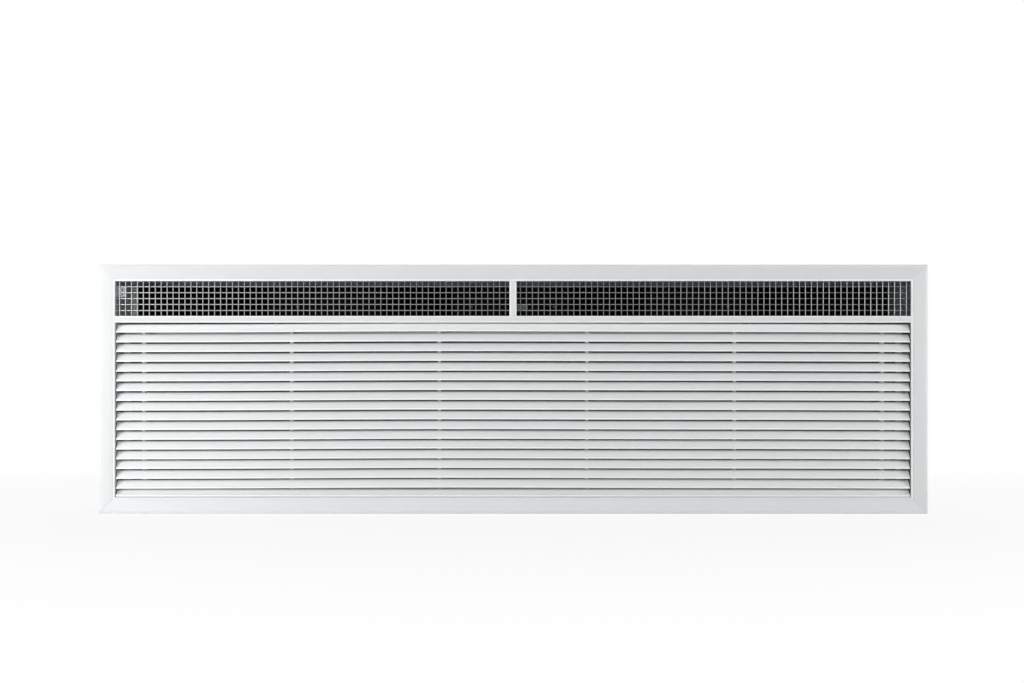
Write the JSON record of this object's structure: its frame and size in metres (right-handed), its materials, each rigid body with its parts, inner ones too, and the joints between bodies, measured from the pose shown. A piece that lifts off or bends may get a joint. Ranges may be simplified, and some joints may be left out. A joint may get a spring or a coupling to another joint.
{
  "type": "air curtain",
  "caption": "Recessed air curtain: flush mitred frame, meshed discharge slot above a hinged louvred intake, and a sheet-metal casing with centrifugal fans.",
  "frame": {"origin": "centre of the four hanger holes, on the outer faces of the hangers, which hold the unit up", "axes": "+X along the unit to the viewer's right, +Y from the face into the casing (upwards once it hangs in a ceiling), +Z from the intake to the discharge slot"},
  "size_m": [1.743, 0.41, 0.524],
  "materials": {
    "white_powder_coat": "white powder coat, fine orange peel, satin",
    "white_blades": "white powder coat, satin",
    "bare_aluminium": "mill finish",
    "mesh_wire": "galvanised welded wire",
    "bright_steel": "zinc plated",
    "spring_steel": "spring steel",
    "filter_cassette": "mill finish channel",
    "filter_mat": "dark grey filter fleece",
    "galvanised": "galvanised sheet with spangle",
    "black_sheet": "matt black paint",
    "bare_bracket": "zinc plated",
    "impeller_metal": "galvanised sheet",
    "motor_enamel": "dark enamel",
    "terminal_grey": "light grey paint",
    "gland_nylon": "moulded nylon"
  },
  "bodies": {
    "unit": {"frame_top": "white_powder_coat", "frame_bottom": "white_powder_coat", "frame_left": "white_powder_coat", "frame_right": "white_powder_coat", "corner_keys": "bare_aluminium", "cross_bar": "white_powder_coat", "slot_mullion": "white_powder_coat", "mesh_left": "mesh_wire", "mesh_right": "mesh_wire", "casing_back": "galvanised", "casing_top": "galvanised", "casing_bottom": "galvanised", "casing_left": "galvanised", "casing_right": "galvanised", "duct_floor": "galvanised", "fan_deck": "black_sheet", "duct_brackets": "bare_bracket", "hangers": "galvanised", "fan_housing_1": "black_sheet", "fan_housing_2": "black_sheet", "fan_housing_3": "black_sheet", "fan_housing_4": "black_sheet", "motor_left": "motor_enamel", "motor_right": "motor_enamel", "motor_cradles": "galvanised", "inlet_rings": "bare_aluminium", "terminal_box": "terminal_grey", "terminal_cover": "terminal_grey", "cable_gland": "gland_nylon", "frame_screws": "bright_steel", "deck_screws": "bright_steel"},
    "louvre_core": {"blade_1": "white_blades", "blade_2": "white_blades", "blade_3": "white_blades", "blade_4": "white_blades", "blade_5": "white_blades", "blade_6": "white_blades", "blade_7": "white_blades", "blade_8": "white_blades", "blade_9": "white_blades", "blade_10": "white_blades", "blade_11": "white_blades", "blade_12": "white_blades", "blade_13": "white_blades", "blade_14": "white_blades", "blade_15": "white_blades", "blade_16": "white_blades", "blade_17": "white_blades", "blade_18": "white_blades", "support_bars": "white_blades", "hinge_pins": "bright_steel", "core_catches": "spring_steel", "filter_cassette": "filter_cassette", "filter_mat": "filter_mat"},
    "rotor_left": {"shaft_left": "bright_steel", "impeller_1": "impeller_metal", "impeller_2": "impeller_metal"},
    "rotor_right": {"shaft_right": "bright_steel", "impeller_3": "impeller_metal", "impeller_4": "impeller_metal"}
  },
  "joints": [
    {"name": "grille_swing", "type": "hinge", "parent": "unit", "child": "louvre_core", "pos_m": [0, -0.4056, -0.2235], "axis": [1, 0, 0], "range_deg": [0, 90]},
    {"name": "rotor_left_spin", "type": "hinge", "parent": "unit", "child": "rotor_left", "pos_m": [-0.42, -0.15435, 0.08523], "axis": [1, 0, 0], "continuous": true},
    {"name": "rotor_right_spin", "type": "hinge", "parent": "unit", "child": "rotor_right", "pos_m": [0.42, -0.15435, 0.08523], "axis": [1, 0, 0], "continuous": true}
  ]
}
